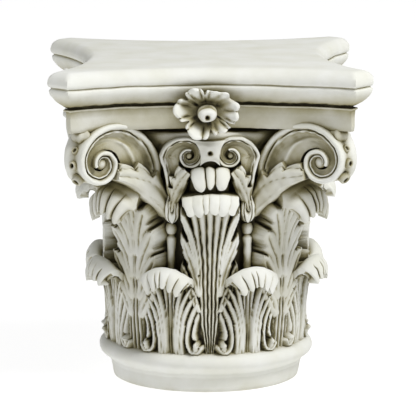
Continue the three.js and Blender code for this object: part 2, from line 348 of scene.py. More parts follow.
@dataclass
class StoneNodes:
    """Adds the nodes of a stone finish to a material's tree."""

    tree: bpy.types.NodeTree

    def noise(self, position: Socket, scale: float, detail: float) -> Socket:
        """Noise in space.

        Args:
            position: Coordinates to read.
            scale: Scale of the noise.
            detail: Finer layers in it.

        Returns:
            The noise from 0 to 1.
        """
        node = self.tree.nodes.new("ShaderNodeTexNoise")
        node.inputs["Scale"].default_value = scale
        node.inputs["Detail"].default_value = detail
        self.tree.links.new(position, node.inputs["Vector"])
        return node.outputs["Fac"]

    def sum(self, operation: Sum, first: "Socket | float", second: "Socket | float") -> Socket:
        """Sum of two masks or numbers.

        Args:
            operation: What is done.
            first: First mask or number.
            second: Second mask or number.

        Returns:
            The result.
        """
        node = self.tree.nodes.new("ShaderNodeMath")
        node.operation = operation.value
        for socket, value in zip(node.inputs, (first, second)):
            if isinstance(value, float):
                socket.default_value = value
            else:
                self.tree.links.new(value, socket)
        return node.outputs[0]

    def span(self, value: Socket, ends: Span) -> Socket:
        """Clamped change of range.

        Args:
            value: Mask to change.
            ends: Its low and high end, and what they become.

        Returns:
            The changed mask.
        """
        node = self.tree.nodes.new("ShaderNodeMapRange")
        for key, end in zip(("From Min", "From Max", "To Min", "To Max"), ends):
            node.inputs[key].default_value = end
        self.tree.links.new(value, node.inputs["Value"])
        return node.outputs["Result"]

    def blend(self, factor: Socket, first: "Socket | tuple", second: "Socket | tuple") -> Socket:
        """Mix of two colours.

        Args:
            factor: Mask of the second colour.
            first: Colour where the mask is 0.
            second: Colour where the mask is 1.

        Returns:
            The mixed colour.
        """
        node = self.tree.nodes.new("ShaderNodeMix")
        node.data_type = "RGBA"
        self.tree.links.new(factor, node.inputs["Factor"])
        for key, value in (("A", first), ("B", second)):
            socket = next(s for s in node.inputs if s.name == key and s.type == "RGBA")
            if isinstance(value, tuple):
                socket.default_value = (*value, 1)
            else:
                self.tree.links.new(value, socket)
        return next(s for s in node.outputs if s.type == "RGBA")


@dataclass(frozen=True)
class CastStone:
    """Off-white cast stone with an olive-brown wash left in the recesses, deepened with painted
    shade and near-black painted shadow.

    Each span gives the low and high end of a mask and what they become.
    """

    light: tuple[float, float, float] = (0.76, 0.765, 0.73)
    warm: tuple[float, float, float] = (0.61, 0.605, 0.49)
    # The wash colour is the olive-brown of the antique wash and also paints shade into recesses;
    # the deep colour is near-black painted shadow in the deepest hollows.
    wash: tuple[float, float, float] = (0.26, 0.225, 0.09)
    deep: tuple[float, float, float] = (0.036, 0.029, 0.013)
    roughness: float = 0.72
    specular: float = 0.3
    # Reach and samples set the ambient occlusion that is painted into the colour as shade.
    reach: float = 0.022
    samples: int = 8
    groove_share: float = 0.6
    cloud_scale: float = 28
    grain_scale: float = 420
    grain_strength: float = 0.25
    grain_height: float = 0.0006
    # Span that turns ambient occlusion into painted shade.
    closed: Span = (0.1, 0.75, 0, 1)
    above_foot: Span = (0.036, 0.05, 0.25, 1)
    below_lip: Span = (0.326, 0.346, 1, 0.6)
    patchy: Span = (0.3, 0.7, 0.75, 1.2)
    warmth: Span = (0.3, 0.75, 0.05, 0.55)
    # Spans from the mask to the wash colour with painted shade, and to the near-black painted
    # shadow.
    thin: Span = (0.1, 0.75, 0, 0.95)
    deep_shadow_span: Span = (0.7, 1.3, 0, 1)
    uneven_from: float = 0.002
    uneven_to: float = 0.362
    crease: float = math.radians(62)

    def wash_and_shade_amount(self, stone: StoneNodes, position: Socket, cloud: Socket) -> Socket:
        """Mask of the wash and of painted shade, from ambient occlusion in hollows that light
        doesn't reach and from grooves.

        Args:
            stone: Tree of the material.
            position: Object coordinates.
            cloud: Slow noise that makes the wash patchy.

        Returns:
            The mask, 0 on clean stone.
        """
        groove = stone.tree.nodes.new("ShaderNodeAttribute")
        groove.attribute_name = "groove"
        # Ambient occlusion, painted into the colour as shade in recesses.
        shade = stone.tree.nodes.new("ShaderNodeAmbientOcclusion")
        shade.samples = self.samples
        shade.inputs["Distance"].default_value = self.reach
        closed = stone.span(stone.sum(Sum.SUBTRACT, 1.0, shade.outputs["AO"]), self.closed)
        sunk = stone.sum(Sum.MULTIPLY, groove.outputs["Fac"], self.groove_share)
        height = stone.tree.nodes.new("ShaderNodeSeparateXYZ")
        stone.tree.links.new(position, height.inputs[0])
        total = stone.sum(Sum.ADD, closed, sunk)
        for value, ends in ((height.outputs["Z"], self.above_foot),
                            (height.outputs["Z"], self.below_lip), (cloud, self.patchy)):
            total = stone.sum(Sum.MULTIPLY, total, stone.span(value, ends))
        return total

    def material(self) -> bpy.types.Material:
        """The shared material, made on first use.

        Returns:
            The material.
        """
        made = bpy.data.materials.get("antiqued_stone_and_painted_shade")
        if made:
            return made
        material = bpy.data.materials.new("antiqued_stone_and_painted_shade")
        material.use_nodes = True
        stone = StoneNodes(material.node_tree)
        nodes, links = stone.tree.nodes, stone.tree.links
        shader = nodes["Principled BSDF"]
        shader.inputs["Roughness"].default_value = self.roughness
        shader.inputs["Specular IOR Level"].default_value = self.specular
        position = nodes.new("ShaderNodeTexCoord").outputs["Object"]
        cloud = stone.noise(position, self.cloud_scale, 4)
        grain = stone.noise(position, self.grain_scale, 3)
        total = self.wash_and_shade_amount(stone, position, cloud)
        ground = stone.blend(stone.span(cloud, self.warmth), self.light, self.warm)
        # Painted shade: wash and shade over the ground colour, then near-black painted shadow where
        # the mask runs highest.
        washed_and_shaded = stone.blend(stone.span(total, self.thin), ground, self.wash)
        colour = stone.blend(stone.span(total, self.deep_shadow_span), washed_and_shaded, self.deep)
        links.new(colour, shader.inputs["Base Color"])
        relief = nodes.new("ShaderNodeBump")
        relief.inputs["Strength"].default_value = self.grain_strength
        relief.inputs["Distance"].default_value = self.grain_height
        links.new(grain, relief.inputs["Height"])
        links.new(relief.outputs["Normal"], shader.inputs["Normal"])
        return material

    def dress(self, name: str, meshes: list[bpy.types.Mesh],
              stain_and_shade: StainAndShade | None = None) -> bpy.types.Object:
        """Joins closed bodies into one dressed piece that rides on the frame.

        Args:
            name: Name of the piece.
            meshes: Its closed bodies, removed here.
            stain_and_shade: Share of wash and painted shade on open surface, worked out from
                coordinates in metres.

        Returns:
            The object.
        """
        bm = bmesh.new()
        for mesh in meshes:
            bm.from_mesh(mesh)
            bpy.data.meshes.remove(mesh)
        bmesh.ops.triangulate(bm, faces=[face for face in bm.faces if len(face.verts) > 4])
        joined = bpy.data.meshes.new(name)
        bm.to_mesh(joined)
        bm.free()
        co = np.empty(len(joined.vertices) * 3)
        joined.vertices.foreach_get("co", co)
        co = co.reshape(-1, 3)
        keep = ((co[:, 2] > self.uneven_from) & (co[:, 2] < self.uneven_to))[:, None]
        joined.vertices.foreach_set("co", (co + settle(co) * keep).astype(np.float32).ravel())
        joined.update()
        joined.shade_smooth()
        joined.set_sharp_from_angle(angle=self.crease)
        # The groove attribute holds wash and painted shade: hollows darken the creases, and each
        # piece's own mask adds shade in its recesses.
        share = hollows(joined)
        if stain_and_shade:
            share = np.maximum(share, stain_and_shade(co))
        groove = joined.attributes.new("groove", "FLOAT", "POINT")
        groove.data.foreach_set("value", share.astype(np.float32))
        obj = bpy.data.objects.new(name, joined)
        bpy.context.scene.collection.objects.link(obj)
        obj.data.materials.append(self.material())
        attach(obj, "root")
        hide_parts(NODE)
        LOG.info("%s: %d triangles", name, sum(len(p.vertices) - 2 for p in joined.polygons))
        return obj


# Bell and foot


@dataclass
class Bell:
    """Round bell with its lip, on a foot of a plain band, a fillet and a torus."""

    steps: int = 180
    stretch: float = 5
    section: Pairs = field(default_factory=lambda: [
        (0, 0), (102.5, 0), (104.2, 1), (105.4, 5), (106.6, 12), (107.2, 15.6), (107.2, 16.6),
        (107.8, 17.6), (108.6, 19.6), (108.7, 20.6), (109.6, 21.8), (111.8, 24), (115, 26.4),
        (118.4, 29), (120.2, 32.2), (120.5, 35.4), (119.6, 38.6), (117.2, 41.4), (113, 43.6),
        (108, 45), (103, 46.5), (98, 50), (95, 57), (95, 100), (96, 150), (98, 190), (101, 220),
        (105, 244), (110, 264), (115, 277), (118.6, 283), (120.2, 287.6), (119.4, 291),
        (116.5, 292.8), (110, 293.4), (108, 296), (108, 312), (0, 312),
    ])

    def mesh(self) -> bpy.types.Mesh:
        """The closed bell.

        Returns:
            The mesh.
        """

        def place(turn: np.ndarray, radius: np.ndarray, height: np.ndarray) -> Points:
            """Points of a plain round body."""
            return around(radius, turn * 2 * math.pi, height)

        return turned(finer(self.section, self.stretch), self.steps, place, "bell")

    @staticmethod
    def stain_and_shade(co: np.ndarray) -> np.ndarray:
        """Painted shade with wash on the bell behind the leaves and under the abacus, but not on
        what stands out from it.

        Args:
            co: Coordinates in metres.

        Returns:
            Share of wash at each point.
        """
        height = co[:, 2]
        flare = 0.06 * np.clip(height - 0.22, 0, 1)
        wall = 1 - ramp(0.1035, 0.1055, np.hypot(co[:, 0], co[:, 1]) - flare)
        # Painted shade in the recess behind the leaves, and at the top of the bell under the
        # abacus.
        behind = 0.95 * wall * ramp(0.044, 0.05, height) * (1 - ramp(0.27, 0.285, height))
        return np.maximum(behind, 0.7 * ramp(0.291, 0.293, height))

    def build(self, stone: CastStone) -> None:
        """Dresses the bell and the stems that stand before it as one piece."""
        stems = [copy for mesh in Caulicole().meshes() for copy in copies(mesh, QUARTERS, True)]
        stone.dress("bell", [self.mesh(), *stems], self.stain_and_shade)


# Leaves


@dataclass(frozen=True)
class Lobe:
    """Curved tongue on the side of a leaf, with a sunk vein and a toothed outer edge."""

    axis: tuple[tuple[float, float], ...]
    half_width: float
    teeth: float = 3.0
    notch: float = 0.38
    crown: float = 4.0
    vein: float = 2.6
    vein_width: float = 1.5
    tip_rise: float = 3.0
    taper: tuple[float, ...] = (0.62, 0.86, 1, 0.8, 0.2)

    def height(self, x: np.ndarray, y: np.ndarray, low: float) -> np.ndarray:
        """Height of the lobe over the leaf's middle surface.

        Args:
            x: Distances from the midrib in millimetres.
            y: Lengths along the leaf in millimetres.
            low: Height where the lobe isn't.

        Returns:
            Heights in millimetres.
        """
        lengths, line = curve_table(list(self.axis), 70)
        slope = np.gradient(line, lengths, axis=0)
        near = ((x[:, None] - line[:, 0]) ** 2 + (y[:, None] - line[:, 1]) ** 2).argmin(axis=1)
        share = near / (len(line) - 1)
        dx, dy = x - line[near, 0], y - line[near, 1]
        off = dx * slope[near, 1] - dy * slope[near, 0]
        gap = np.hypot(dx, dy)
        tooth = (1 - (share * self.teeth) % 1) ** 1.6 * ramp(0.3, 0.45, share)
        width = self.half_width * np.interp(share, [0, 0.25, 0.6, 0.85, 1], self.taper)
        width = width * (1 - self.notch * tooth * (off > 0))
        q = gap / width
        veins = bump(off, self.vein_width) * ramp(0.0, 0.2, share) * (1 - ramp(0.75, 0.98, share))
        top = self.crown * np.sqrt(np.clip(1 - 0.9 * q**2, 0, 1)) - self.vein * veins
        top += self.tip_rise * share**2
        return top + (low - top) * ramp(-0.7, 0.9, gap - width)


EVEN = (1, 1, 1, 1, 1)


def leaf_stain_and_shade(co: np.ndarray) -> np.ndarray:
    """Painted shade with wash on the leaves where they are cut back to the bell, and thin painted
    shade below the hoods.

    Args:
        co: Coordinates in metres.

    Returns:
        Share of wash at each point.
    """
    out = np.hypot(co[:, 0], co[:, 1])
    # Painted shade in the recesses cut back to the bell, and thinly under the hoods.
    cut_back = 0.9 * (1 - ramp(0.1015, 0.1065, out))
    below_hood = 0.24 * (1 - ramp(0.115, 0.125, out))
    return np.maximum(cut_back, below_hood)


def corner_stain_and_shade(co: np.ndarray) -> np.ndarray:
    """Wash and painted shade on a corner leaf, thicker than on the other leaves, painting the shade
    of the volutes.
    """
    return np.maximum(leaf_stain_and_shade(co), 0.36)


@dataclass
class Leaf:
    """Acanthus leaf that stands against the bell and curls over at the top.

    A ribbed shaft runs up its middle, and lobes branch from it to both sides. Between the lobes
    the blade is cut back to the bell.
    """

    name: str
    angles: list[float]
    path: Pairs
    widths: Pairs
    shaft: Pairs
    ribs: float
    relief: float
    lobes: list[Lobe]
    hood: tuple[float, float]
    droop: float
    fingers: int
    stain_and_shade: StainAndShade | None = None
    knuckle: float = 3.0
    finger_start: float = 0.06
    finger_cut: float = 0.03
    finger_power: float = 1.0
    creases: tuple[float, float] = (0, 0.35)
    finger_sharp: float = 0.36
    finger_sway: float = 0.08
    finger_ripple: float = 0.03
    tip_uneven: float = 0.009
    shaft_rise: float = 1.5
    rib_sharp: float = 0.55
    hood_floor: float = -3.0
    hood_share: float = 0.6
    thickness: float = 8.0
    low: float = -20.0
    back: float = -25.0
    across: int = 72
    along: int = 108

    def carved(self, x: np.ndarray, y: np.ndarray) -> np.ndarray:
        """Carved height of the blade over its middle surface.

        Args:
            x: Distances across in millimetres, signed.
            y: Lengths along in millimetres.

        Returns:
            Heights in millimetres.
        """
        side = np.abs(x)
        half = np.interp(y, *np.array(self.shaft).T)
        rib = ridges(self.ribs * side / half + 0.5, self.rib_sharp)
        height = self.shaft_rise + self.relief * (rib - 0.5)
        height = height + (self.low - height) * ramp(0.97, 1.06, side / half)
        for lobe in self.lobes:
            height = np.maximum(height, lobe.height(side, y, self.low))
        return height

    def mesh(self) -> bpy.types.Mesh:
        """The closed leaf at the middle of the -Y face.

        Returns:
            The mesh.
        """
        lengths, line = curve_table(self.path)
        total = lengths[-1]
        slope = np.gradient(line, lengths, axis=0)
        at_width, widths = np.array(self.widths).T

        def place(u: np.ndarray, t: np.ndarray, front: np.ndarray) -> Points:
            """Points of the leaf's carved side and of its back, which is on top in the hood."""
            hooded = ramp(*self.hood, t)
            width = np.interp(t, at_width, widths)
            spread = np.sign(u) * np.abs(u) ** self.finger_power
            sway = self.finger_sway * np.sin(5 * u + 0.8) + self.finger_ripple * np.sin(9 * u + 2)
            spread = spread + (1 - u**2) * sway
            finger = ridges((spread + 1) / 2 * self.fingers, self.finger_sharp)
            lip = ramp(self.hood[1] - self.finger_start, 1, t)
            uneven = self.tip_uneven * (1 + np.sin(7 * u + 2))
            at = (t - hooded * lip**2 * (self.finger_cut * (1 - finger) + uneven)) * total
            radius = np.interp(at, lengths, line[:, 0])
            height = np.interp(at, lengths, line[:, 1])
            run = np.interp(at, lengths, slope[:, 0])
            lift = np.interp(at, lengths, slope[:, 1])
            blade = self.carved(u * width, at)
            under = np.maximum(blade, self.hood_floor) * self.hood_share + self.thickness
            outer = blade * (1 - hooded) + under * hooded
            creased = self.knuckle * (finger - 0.6) * hooded * ramp(*self.creases, lip)
            depth = np.where(front > 0.5, outer, self.back * (1 - hooded) - creased)
            sag = self.droop * hooded * u**2
            radius = radius + depth * lift - sag * 0.35
            height = height - depth * run - sag
            return around(radius, u * width / np.maximum(radius, 100), height)

        return slab(self.across, self.along, place, "leaf")

    def build(self, stone: CastStone) -> None:
        """Dresses all leaves of the kind as one piece."""
        stone.dress(self.name, copies(self.mesh(), self.angles), self.stain_and_shade)


def lower_leaf() -> Leaf:
    """Leaf of the lower row.

    Returns:
        The leaf.
    """
    return Leaf(
        name="lower_leaves", angles=BETWEEN, stain_and_shade=leaf_stain_and_shade,
        path=[(106, 38), (108, 58), (109, 90), (110, 112), (115, 130), (124, 142), (134, 144),
              (141, 135), (142, 121)],
        widths=[(0, 39), (0.12, 38), (0.3, 34), (0.4, 33), (0.55, 30), (0.62, 28), (0.75, 29),
                (0.9, 28), (1, 19)],
        shaft=[(0, 6), (24, 5), (58, 6), (88, 10), (108, 15), (148, 22)], ribs=1.5, relief=4.5,
        lobes=[
            Lobe(((32, 64), (25, 50), (20, 35), (19, 20), (23, 10), (31, 8), (36, 14)), 3.4,
                 teeth=0, crown=6, vein=0, taper=EVEN),
            Lobe(((29.5, 13), (30.5, 17)), 4.6, teeth=0, crown=9, vein=0, taper=EVEN),
            Lobe(((34, 54), (28, 40), (26, 29), (27, 24)), 3.2, teeth=0, crown=4.5, vein=0,
                 taper=EVEN),
            Lobe(((14, 4), (13, 24), (16, 45), (22, 61), (29, 74)), 3.8, teeth=2, crown=6, vein=0),
            Lobe(((10, 4), (9, 28), (12, 50), (18, 69), (26, 86)), 3.8, teeth=2, crown=6, vein=0),
            Lobe(((6, 4), (6, 30), (9, 56), (14, 79), (21, 99)), 3.6, teeth=1, crown=6, vein=0),
        ],
        hood=(0.56, 0.7), droop=12, fingers=6, knuckle=4, creases=(0.6, 1.0), finger_cut=0.08,
        low=-3.5, across=56, along=90,
    )


def face_leaf() -> Leaf:
    """Leaf of the upper row in the middle of a face.

    Returns:
        The leaf.
    """
    return Leaf(
        name="face_leaves", angles=QUARTERS, stain_and_shade=leaf_stain_and_shade,
        path=[(105, 40), (109, 72), (111, 120), (112, 165), (114, 190), (119, 208), (127, 222),
              (136, 227), (143, 221), (146, 211), (145, 204)],
        widths=[(0, 14), (0.2, 18), (0.26, 34), (0.6, 36), (0.72, 34), (0.8, 31), (0.95, 31),
                (1, 27)],
        shaft=[(0, 4), (16, 6), (38, 9.5), (70, 11), (100, 12), (125, 15), (150, 20), (170, 25),
               (190, 28), (224, 30)], ribs=2.5, relief=6,
        lobes=[
            Lobe(((12, 54), (18, 68), (24, 81), (28, 94), (30, 106)), 5.6, teeth=4, crown=5),
            Lobe(((12, 72), (16, 91), (22, 110), (28, 127), (31, 140)), 6.0, teeth=4, crown=5,
                 vein=2),
            Lobe(((13, 96), (17, 118), (23, 140), (29, 158), (32, 170)), 5.2, teeth=2, crown=5.5,
                 vein=1.2),
        ],
        hood=(0.77, 0.86), droop=4, fingers=6, knuckle=2.0, creases=(0.1, 0.7),
        finger_cut=0.026, across=66, along=136,
    )


def corner_leaf() -> Leaf:
    """Leaf of the upper row under a corner.

    Returns:
        The leaf.
    """
    return Leaf(
        name="corner_leaves", angles=DIAGONALS, stain_and_shade=corner_stain_and_shade,
        path=[(105, 40), (109, 72), (111, 120), (113, 165), (121, 198), (134, 221), (149, 233),
              (162, 228), (168, 214), (167, 202)],
        widths=[(0, 14), (0.16, 18), (0.22, 34), (0.5, 40), (0.62, 36), (0.78, 32), (0.9, 30),
                (1, 19)],
        shaft=[(0, 12), (70, 10), (120, 7.5), (170, 6.5), (210, 12), (246, 18)], ribs=2,
        relief=6.5,
        lobes=[
            Lobe(((8, 46), (15, 60), (24, 72), (31, 86)), 9.6, teeth=3, crown=6, vein=2.2),
            Lobe(((7, 66), (14, 84), (24, 100), (32, 114)), 11.2, teeth=3, crown=6, vein=2.2),
            Lobe(((6, 90), (12, 110), (22, 128), (31, 144)), 11.6, teeth=3, crown=6, vein=2.2),
            Lobe(((6, 114), (10, 136), (18, 156), (28, 173)), 11.4, teeth=3, crown=6, vein=2.2),
            Lobe(((5, 138), (8, 160), (14, 180), (23, 198)), 9.6, teeth=2, crown=5.5, vein=2),
        ],
        hood=(0.77, 0.86), droop=16, fingers=6, knuckle=6.5, creases=(0.05, 0.6),
        finger_cut=0.05, low=-15, across=66, along=140,
    )


def inner_tip() -> Leaf:
    """Second tip that shows above the curl of a face leaf.

    Returns:
        The leaf.
    """
    return Leaf(
        name="inner_tips", angles=QUARTERS,
        path=[(103, 200), (107, 225), (113, 242), (120, 252), (128, 253), (134, 246), (136, 237),
              (135, 231)],
        widths=[(0, 22), (0.9, 22), (1, 19)], shaft=[(0, 22), (90, 22)], ribs=1.5, relief=2.0,
        lobes=[], hood=(0.42, 0.6), droop=2, fingers=3, finger_power=0.88, knuckle=5,
        finger_start=0.14, finger_cut=0.13, creases=(0.0, 0.35), across=48, along=48,
    )


# Scrolls


@dataclass
class Scroll:
    """Spiral with a raised rim and a sunk channel, on a stalk, in its own upright plane."""

    name: str
    eye: tuple[float, float, float]
    turn: float
    coil: float
    tighten: float
    throat: float
    throat_end: float
    turns: float
    stalk: Pairs
    rim: float
    relief: float
    depth: float
    button: float
    sheet: Pairs
    lean: float = 0.0
    meets_twin: bool = False
    overlap: float = 0.4
    narrowing: float = 0.035
    fold: float = 0.3
    rim_section: Pairs = field(default_factory=lambda: [
        (0, -0.45), (0.12, -0.1), (0.4, 0), (0.7, -0.05), (0.92, -0.3), (1.05, -0.75),
        (1.2, -0.75), (1.28, -0.5), (1.5, -0.5), (1.62, -0.95),
    ])
    across: int = 26
    along: int = 150

    def radius(self, angle: np.ndarray) -> np.ndarray:
        """Outer radius at an angle from the throat."""
        coil = self.coil * np.exp(-(angle - math.pi) / self.tighten)
        return coil + self.throat * np.clip(1 - angle / self.throat_end, 0, None) ** 1.7

    def outer_edge(self) -> tuple[np.ndarray, np.ndarray, np.ndarray]:
        """Outer edge from the foot of the stalk to the eye, sampled evenly by length.

        Returns:
            Points, inward directions and angles from the throat.
        """
        angle = np.linspace(0, self.turns * 2 * math.pi, 500)
        radius = self.radius(angle)
        coil = np.stack([-radius * np.cos(angle), radius * np.sin(angle)], axis=1)
        _, stem = curve_table([*self.stalk, tuple(coil[0]), tuple(coil[12])], 200)
        stem = stem[: int(200 * 0.97)]
        stem = stem[stem[:, 1] < coil[0, 1]]
        line = np.vstack([stem, coil])
        angles = np.concatenate([np.full(len(stem), -0.01), angle])
        lengths = np.concatenate([[0], np.cumsum(np.linalg.norm(np.diff(line, axis=0), axis=1))])
        even = np.linspace(0, lengths[-1], self.along + 1)
        points = np.stack([np.interp(even, lengths, line[:, k]) for k in range(2)], axis=1)
        heading = np.gradient(points, axis=0)
        heading /= np.linalg.norm(heading, axis=1)[:, None]
        inward = np.stack([heading[:, 1], -heading[:, 0]], axis=1)
        return points, inward, np.interp(even, lengths, angles)

    def to_space(self, x: np.ndarray, y: np.ndarray, out: np.ndarray) -> Points:
        """Points of the scroll's plane on the -Y face, leaning back towards the foot.

        Args:
            x: Distances to the right of the eye.
            y: Heights above the eye.
            out: Distances in front of the plane.

        Returns:
            The points in millimetres.
        """
        out = out - self.lean * ramp(18, 62, -y)
        right = np.array([math.cos(self.turn), -math.sin(self.turn), 0])
        normal = np.array([-math.sin(self.turn), -math.cos(self.turn), 0])
        up = np.array([0, 0, 1])
        return np.array(self.eye) + x[:, None] * right + y[:, None] * up + out[:, None] * normal

    def meshes(self) -> list[bpy.types.Mesh]:
        """The band of the scroll and the button of its eye, on one side of the -Y face.

        Returns:
            The two closed meshes.
        """
        points, inward, angles = self.outer_edge()
        wound = np.clip(angles, 0, None)
        shrink = 1 - self.narrowing * wound
        stemmed = angles < 0
        next_turn = np.clip(self.radius(wound) - self.radius(wound + 2 * math.pi), 0, None)
        last = angles > (self.turns - 1) * 2 * math.pi
        band = np.where(last, np.minimum(next_turn + 1, self.radius(angles) * 0.9), next_turn + 1)
        heights_at, sheets = np.array(self.sheet).T
        band = np.where(stemmed, np.interp(points[:, 1], heights_at, sheets), band)
        marks, heights = np.array(self.rim_section).T

        def place(u: np.ndarray, t: np.ndarray, front: np.ndarray) -> Points:
            """Points of the band, from its outer edge inwards, and of its back."""
            at = np.rint(t * self.along).astype(int)
            width = band[at]
            inwards = (u + 1) / 2 * width
            rim = self.rim * shrink[at]
            position = inwards / rim
            height = np.interp(position, marks, heights) * self.relief
            channel = np.clip((position - marks[-1]) / 1.5, 0, 1)
            height -= self.fold * self.relief * np.sin(math.pi * channel)
            crease = bump(inwards / width - 0.58, 0.07) * ramp(16, 30, width)
            height += self.fold * self.relief * crease
            flat = points[at] + inward[at] * inwards[:, None]
            if self.meets_twin:
                seat = self.to_space(flat[:, 0], flat[:, 1], np.zeros(len(flat)))
                back = (seat[:, 0] + seat[:, 1]) / (math.sin(self.turn) + math.cos(self.turn))
                back = np.maximum(back, -self.depth) - self.overlap
            else:
                back = np.full(len(flat), -self.depth)
            return self.to_space(flat[:, 0], flat[:, 1], np.where(front > 0.5, height, back))

        def dome(turn: np.ndarray, level: np.ndarray) -> Points:
            """Points of the button."""
            ring = np.sin(level * math.pi / 2)
            x = self.button * ring * np.cos(turn * 2 * math.pi)
            y = self.button * ring * np.sin(turn * 2 * math.pi)
            rise = self.button * 0.55 * np.cos(level * math.pi / 2)
            return self.to_space(x, y, -self.relief * 1.2 + rise)

        return [slab(self.across, self.along, place, "band"), loft(24, 8, dome, "eye")]

    def stain_and_shade(self, co: np.ndarray) -> np.ndarray:
        """Wash and painted shade in the sunk channel, on every half face.

        Args:
            co: Coordinates in metres.

        Returns:
            Share of wash at each point.
        """
        eye = np.abs(self.eye) * MM
        flat = np.sort(np.abs(co[:, :2]), axis=1) - eye[:2]
        out = flat[:, 1] * math.cos(self.turn) - flat[:, 0] * math.sin(self.turn)
        # Painted shade with wash on what lies behind the scroll's front.
        floor = -self.relief * MM
        return 0.75 * (1 - ramp(0.85 * floor, 0.5 * floor, out)) * ramp(-0.022, -0.018, out)

    def build(self, stone: CastStone, joints: list[bpy.types.Mesh]) -> None:
        """Dresses the eight scrolls of the kind as one piece, with what stands between twins."""
        bands = [copy for mesh in self.meshes() for copy in copies(mesh, QUARTERS, True)]
        stone.dress(self.name, [*bands, *joints], self.stain_and_shade)


def corner_volute() -> Scroll:
    """Right volute of the -Y face.

    Returns:
        The scroll.
    """
    return Scroll(
        name="corner_volutes", eye=(115, -144.5, 262), turn=math.pi / 6, coil=28.5, tighten=6.8,
        throat=27.3, throat_end=2.3, turns=1.55, stalk=[(-84, -62), (-77.5, -44), (-73.6, -22)],
        sheet=[(-62, 6), (-50, 8), (-36, 14), (-24, 28), (-12, 46), (0, 55)],
        rim=7, relief=6.5, depth=42, button=6.5, meets_twin=True,
    )


def inner_helix() -> Scroll:
    """Left helix of the -Y face.

    Returns:
        The scroll.
    """
    return Scroll(
        name="inner_helices", eye=(-22.5, -124, 267), turn=0, coil=16, tighten=7.5, throat=8,
        throat_end=2, turns=1.3, stalk=[(-20, -62), (-23.5, -44), (-26.5, -20)],
        sheet=[(-62, 8), (-40, 10), (-24, 13), (-12, 18), (0, 22)],
        rim=3.8, relief=4.5, depth=22, button=3.2, lean=15, across=16, along=100,
    )


@dataclass
class DrilledRings:
    """Three drilled rings on the edge between two volutes."""

    steps: int = 20
    section: Pairs = field(default_factory=lambda: [
        (0, -3), (0.42, -3), (0.5, 0), (0.62, 1.4), (0.8, 1.7), (1, 0.6), (1.1, -5), (0, -5),
    ])
    seats: list[Span] = field(default_factory=lambda: [
        (206.5, 278, 0.55, 4.2), (211, 262, 0, 4.6), (205.5, 244, -0.65, 6),
    ])

    def mesh(self) -> bpy.types.Mesh:
        """The rings at the middle of the -Y face, each with its distance, height, tilt and size.

        Returns:
            The closed rings in one mesh.
        """
        bm = bmesh.new()
        for out, z, tilt, size in self.seats:

            def place(turn: np.ndarray, share: np.ndarray, forward: np.ndarray) -> Points:
                """Points of one ring, tilted to the edge."""
                r = share * size
                x, up = r * np.cos(turn * 2 * math.pi), r * np.sin(turn * 2 * math.pi)
                depth = out + forward * math.cos(tilt) - up * math.sin(tilt)
                height = z + up * math.cos(tilt) + forward * math.sin(tilt)
                return np.stack([x, -depth, height], axis=1)

            ring = turned(np.array(self.section), self.steps, place, "ring")
            bm.from_mesh(ring)
            bpy.data.meshes.remove(ring)
        mesh = bpy.data.meshes.new("drilled_rings")
        bm.to_mesh(mesh)
        bm.free()
        return mesh


# Caulicoles and their calyx leaves


